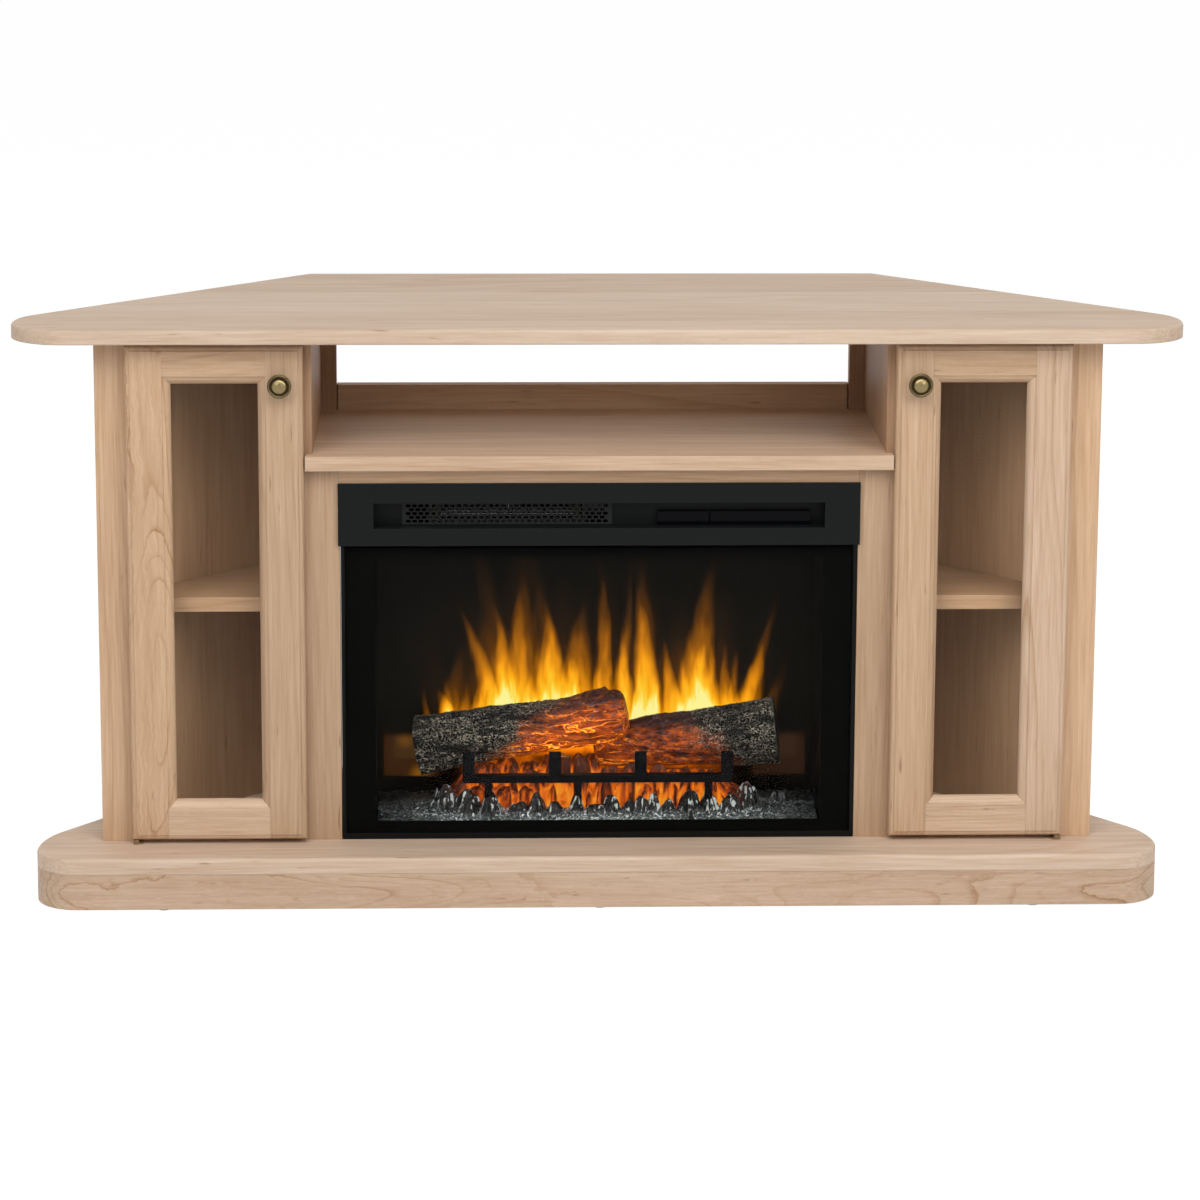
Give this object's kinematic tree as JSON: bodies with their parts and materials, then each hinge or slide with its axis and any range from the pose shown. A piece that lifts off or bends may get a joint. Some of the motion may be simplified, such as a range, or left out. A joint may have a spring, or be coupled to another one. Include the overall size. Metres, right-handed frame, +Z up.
{
  "type": "corner fireplace cabinet",
  "caption": "Corner fireplace cabinet in plain maple with a wide top, an open media shelf, two glazed side doors, a rounded hearth and an electric log fire.",
  "frame": {"origin": "middle of the footprint's bounding box on the floor", "axes": "+X to the right seen from the front, +Y to the back, +Z up; the doors and the fire face -Y"},
  "size_m": [1.5, 0.493, 0.75],
  "materials": {
    "maple_face": "satin",
    "maple_inner": "satin",
    "clear_glass": "gloss",
    "zinc_steel": "satin",
    "antique_brass": "satin",
    "black_steel": "matte",
    "black_mask": "gloss",
    "heater_alloy": "satin",
    "flame_screen": "matte",
    "moulded_log": "matte",
    "grey_bed": "gloss",
    "glowing_embers": "matte",
    "aluminium": "satin",
    "nylon": "matte"
  },
  "bodies": {
    "cabinet": {"top_board": "maple_face", "hearth_board": "maple_face", "skirt_front": "maple_face", "skirt_sides": "maple_face", "skirt_back": "maple_inner", "glides": "nylon", "outer_stile_left": "maple_face", "outer_stile_right": "maple_face", "inner_stile_left": "maple_face", "inner_stile_right": "maple_face", "fire_rail": "maple_face", "door_headers": "maple_face", "partition_left": "maple_inner", "partition_right": "maple_inner", "side_returns": "maple_face", "side_wall_left": "maple_inner", "side_wall_right": "maple_inner", "media_shelf": "maple_face", "back_posts": "maple_inner", "back_rail": "maple_inner", "shelf_left": "maple_face", "shelf_right": "maple_face", "shelf_pins": "zinc_steel", "pivot_leaves": "zinc_steel", "fire_shell": "black_steel", "hood_panel": "black_steel", "hood_recess": "black_steel", "heater_grille": "black_steel", "heater_element": "heater_alloy", "display_windows": "black_mask", "front_glass": "clear_glass", "glass_border": "black_mask", "front_trim": "black_steel", "chamber_liner": "black_steel", "rear_screen": "flame_screen", "log_left": "moulded_log", "log_right": "moulded_log", "grate": "black_steel", "ember_bed": "grey_bed", "ember_coals": "glowing_embers", "rotor_mounts": "zinc_steel", "blower_housing": "zinc_steel", "cord_gland": "nylon"},
    "door_left": {"hinge_stile_left": "maple_face", "knob_stile_left": "maple_face", "upper_rail_left": "maple_face", "lower_rail_left": "maple_face", "glass_left": "clear_glass", "glass_stops_left": "maple_face", "knob_left": "antique_brass"},
    "door_right": {"hinge_stile_right": "maple_face", "knob_stile_right": "maple_face", "upper_rail_right": "maple_face", "lower_rail_right": "maple_face", "glass_right": "clear_glass", "glass_stops_right": "maple_face", "knob_right": "antique_brass"},
    "flicker_rotor": {"flicker_rotor": "aluminium"},
    "blower_wheel": {"blower_wheel": "aluminium"}
  },
  "joints": [
    {"name": "door_left_hinge", "type": "hinge", "parent": "cabinet", "child": "door_left", "pos_m": [-0.599, -0.1765, 0.4], "axis": [0, 0, -1], "range_deg": [0, 110]},
    {"name": "door_right_hinge", "type": "hinge", "parent": "cabinet", "child": "door_right", "pos_m": [0.599, -0.1765, 0.4], "axis": [0, 0, 1], "range_deg": [0, 110]},
    {"name": "flicker_spin", "type": "hinge", "parent": "cabinet", "child": "flicker_rotor", "pos_m": [0, 0.0025, 0.108], "axis": [1, 0, 0], "continuous": true},
    {"name": "blower_spin", "type": "hinge", "parent": "cabinet", "child": "blower_wheel", "pos_m": [-0.118, -0.0875, 0.501], "axis": [1, 0, 0], "continuous": true}
  ]
}
